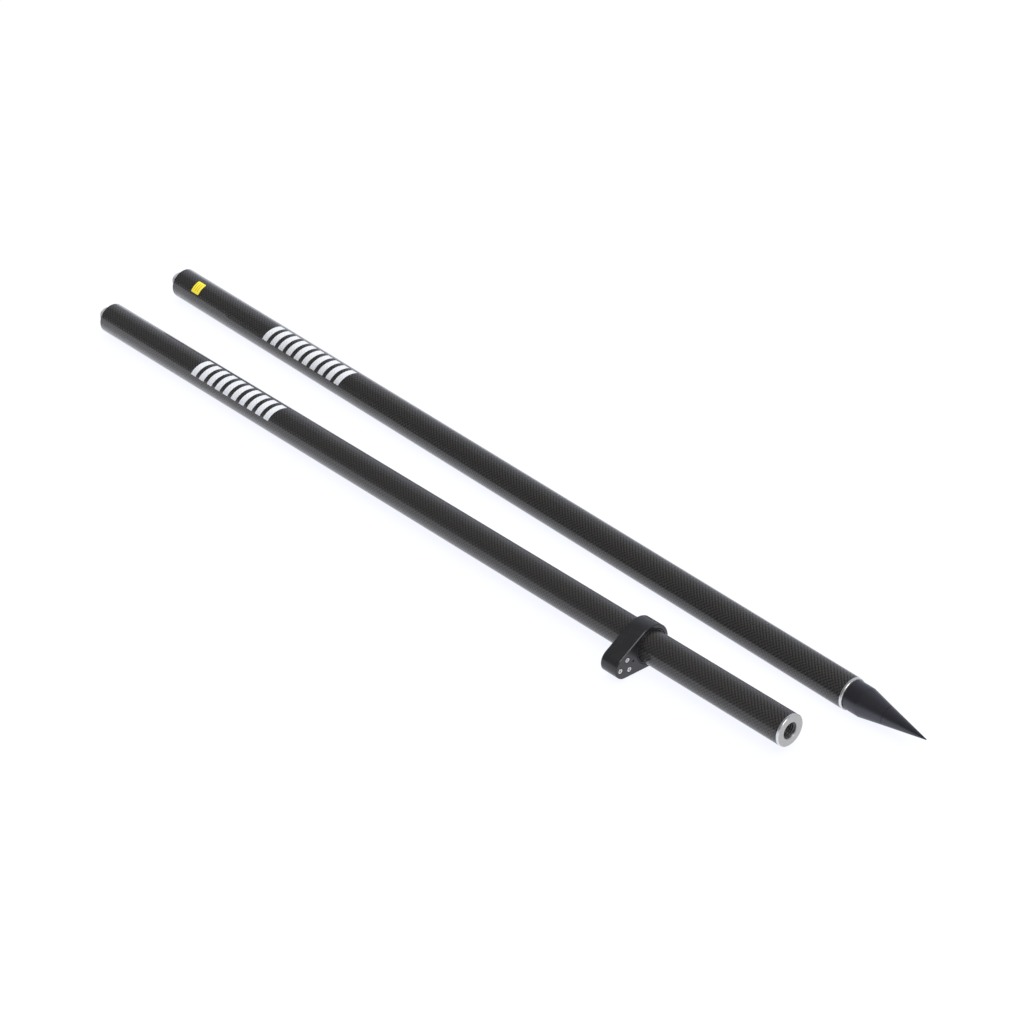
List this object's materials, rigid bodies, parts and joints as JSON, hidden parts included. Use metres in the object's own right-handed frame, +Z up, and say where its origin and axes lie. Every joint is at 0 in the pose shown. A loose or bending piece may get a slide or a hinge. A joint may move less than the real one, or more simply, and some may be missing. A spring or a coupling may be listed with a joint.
{
  "type": "survey pole",
  "caption": "Sectional carbon-fibre survey pole, taken apart and lying down, with a screw-in steel point and a sliding collar that holds a bullseye level.",
  "frame": {"origin": "middle of the whole object's base, on the ground", "axes": "+Z up; +X along the lower section from its top stud to its point; -Y towards the upper section and its level"},
  "size_m": [1.0555, 0.1458, 0.0433],
  "materials": {
    "carbon_fibre": "clear-coated woven carbon",
    "turned_aluminium": "fine turned",
    "thread_steel": "turned",
    "label_film": "satin printed film",
    "seal_rubber": "matte",
    "blackened_steel": "blackened, satin",
    "black_anodised": "satin anodised",
    "black_nylon": "satin",
    "screw_steel": "bright",
    "vial_white": "matte white",
    "vial_liquid": "clear yellow-green",
    "vial_glass": "clear"
  },
  "bodies": {
    "lower_section": {"lower_tube": "carbon_fibre", "lower_foot_insert": "turned_aluminium", "lower_top_plug": "turned_aluminium", "lower_top_stud": "thread_steel", "serial_label": "label_film"},
    "point_seal": {"point_o_ring": "seal_rubber"},
    "point": {"point_body": "blackened_steel", "point_tip": "blackened_steel"},
    "upper_section": {"upper_tube": "carbon_fibre", "upper_foot_insert": "turned_aluminium", "upper_top_plug": "turned_aluminium", "upper_top_stud": "thread_steel"},
    "bush": {"collar_bush": "black_nylon"},
    "collar": {"collar_body": "black_anodised", "vial_o_ring": "seal_rubber"},
    "lock_screw": {"collar_lock_screw": "screw_steel"},
    "screw_1": {"adjusting_screw_1": "screw_steel"},
    "screw_2": {"adjusting_screw_2": "screw_steel"},
    "screw_3": {"adjusting_screw_3": "screw_steel"},
    "vial": {"vial_housing": "turned_aluminium", "vial_base_disc": "vial_white", "vial_fluid": "vial_liquid", "vial_glass": "vial_glass", "vial_retaining_ring": "black_nylon"}
  },
  "joints": [
    {"name": "point_travel", "type": "slide", "parent": "lower_section", "child": "point_seal", "axis": [1, 0, 0], "range_m": [0, 0.0163]},
    {"name": "point_turn", "type": "hinge", "parent": "point_seal", "child": "point", "pos_m": [0.44155, 0.05701, 0.01588], "axis": [1, 0, 0], "range_deg": [0, 2520]},
    {"name": "upper_section_lift", "type": "slide", "parent": "lower_section", "child": "upper_section", "axis": [0, 0, 1], "range_m": [0, 0.3]},
    {"name": "collar_slide", "type": "slide", "parent": "upper_section", "child": "bush", "axis": [0.9999, 0.0143, 0.0074], "range_m": [-0.76, 0.165]},
    {"name": "collar_swivel", "type": "hinge", "parent": "bush", "child": "collar", "pos_m": [0.27575, -0.02852, 0.02172], "axis": [0.9999, 0.0143, 0.0074], "continuous": true},
    {"name": "lock_screw_turn", "type": "hinge", "parent": "collar", "child": "lock_screw", "pos_m": [0.26575, -0.02866, 0.02164], "axis": [-0.0155, 0.9795, 0.2011], "range_deg": [0, 720]},
    {"name": "screw_1_turn", "type": "hinge", "parent": "collar", "child": "screw_1", "pos_m": [0.27636, -0.06699, 0.01382], "axis": [0.9999, 0.0143, 0.0074], "range_deg": [-120, 120]},
    {"name": "screw_2_turn", "type": "hinge", "parent": "collar", "child": "screw_2", "pos_m": [0.27617, -0.05818, 0.02164], "axis": [0.9999, 0.0143, 0.0074], "range_deg": [-120, 120]},
    {"name": "screw_3_turn", "type": "hinge", "parent": "collar", "child": "screw_3", "pos_m": [0.27622, -0.05581, 0.0101], "axis": [0.9999, 0.0143, 0.0074], "range_deg": [-120, 120]},
    {"name": "vial_tilt", "type": "hinge", "parent": "collar", "child": "vial", "pos_m": [0.2676, -0.05712, 0.01581], "axis": [-0.0044, -0.2012, 0.9795], "range_deg": [-1, 1]}
  ],
  "couplings": [
    {"joint": "point_travel", "follows": "point_turn", "m_per_rad": 0.0003675},
    {"joint": "vial_tilt", "follows": "screw_1_turn", "ratio": -0.0078017}
  ]
}
